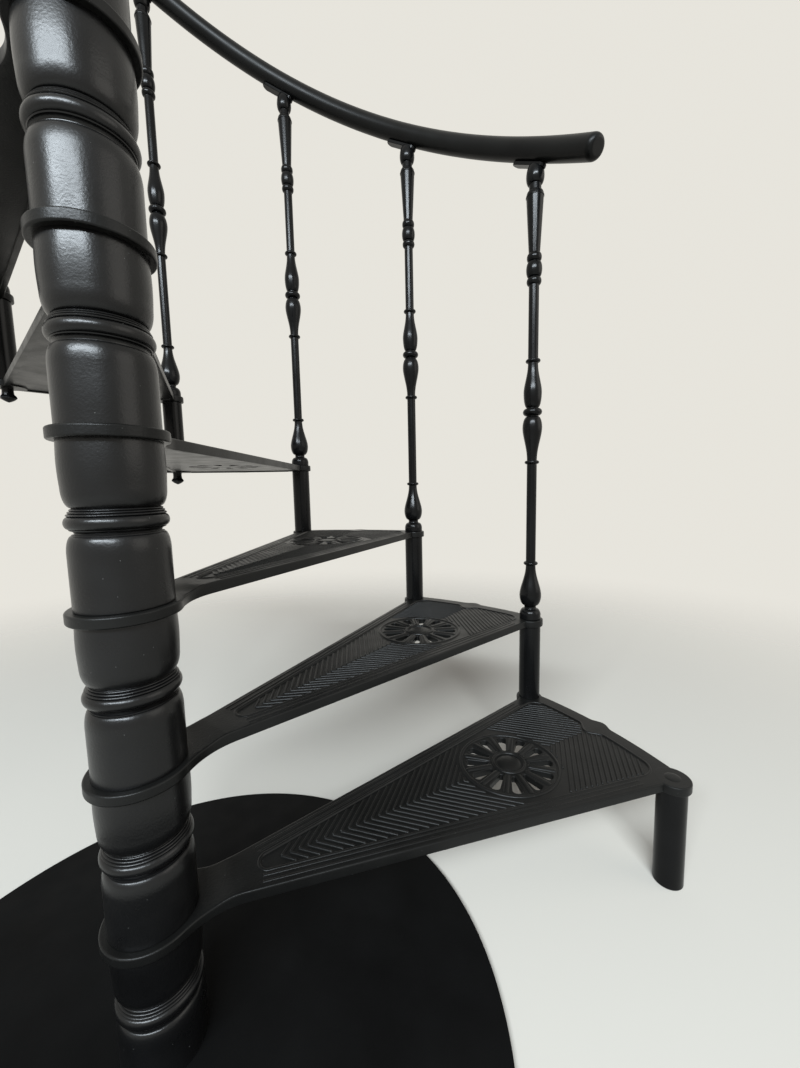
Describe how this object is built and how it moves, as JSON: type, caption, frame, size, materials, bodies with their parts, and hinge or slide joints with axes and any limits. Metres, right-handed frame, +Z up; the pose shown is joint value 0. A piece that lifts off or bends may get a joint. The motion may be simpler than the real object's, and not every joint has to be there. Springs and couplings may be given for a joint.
{
  "type": "spiral staircase flight",
  "caption": "Lower flight of a cast spiral staircase: pierced wedge treads around a turned column on a round plate, with turned balusters and a helical handrail.",
  "frame": {"origin": "on the column's axis at the underside of the floor plate, where it rests on the floor", "axes": "+Z up along the column; the leg at the first tread's front corner stands 15 degrees from +X, and the flight rises counter-clockwise from there"},
  "size_m": [1.5295, 1.2176, 2.1806],
  "materials": {
    "treads": "satin black paint on a fine cast grain",
    "column": "satin black paint, softly rippled",
    "balusters": "satin black paint",
    "handrail": "semi-gloss black paint",
    "posts": "satin black paint",
    "floor_plate": "flat black paint"
  },
  "bodies": {
    "root": {"baluster_1": "balusters", "baluster_2": "balusters", "baluster_3": "balusters", "baluster_4": "balusters", "baluster_5": "balusters", "column_cap": "column", "column_sleeve_1": "column", "column_sleeve_2": "column", "column_sleeve_3": "column", "column_sleeve_4": "column", "column_sleeve_5": "column", "column_sleeve_6": "column", "column_sleeve_7": "column", "corner_leg": "posts", "floor_plate": "floor_plate", "handrail": "handrail", "rail_brackets": "handrail", "spacer_posts": "posts", "tread_1": "treads", "tread_2": "treads", "tread_3": "treads", "tread_4": "treads", "tread_5": "treads", "tread_6": "treads"}
  },
  "joints": []
}
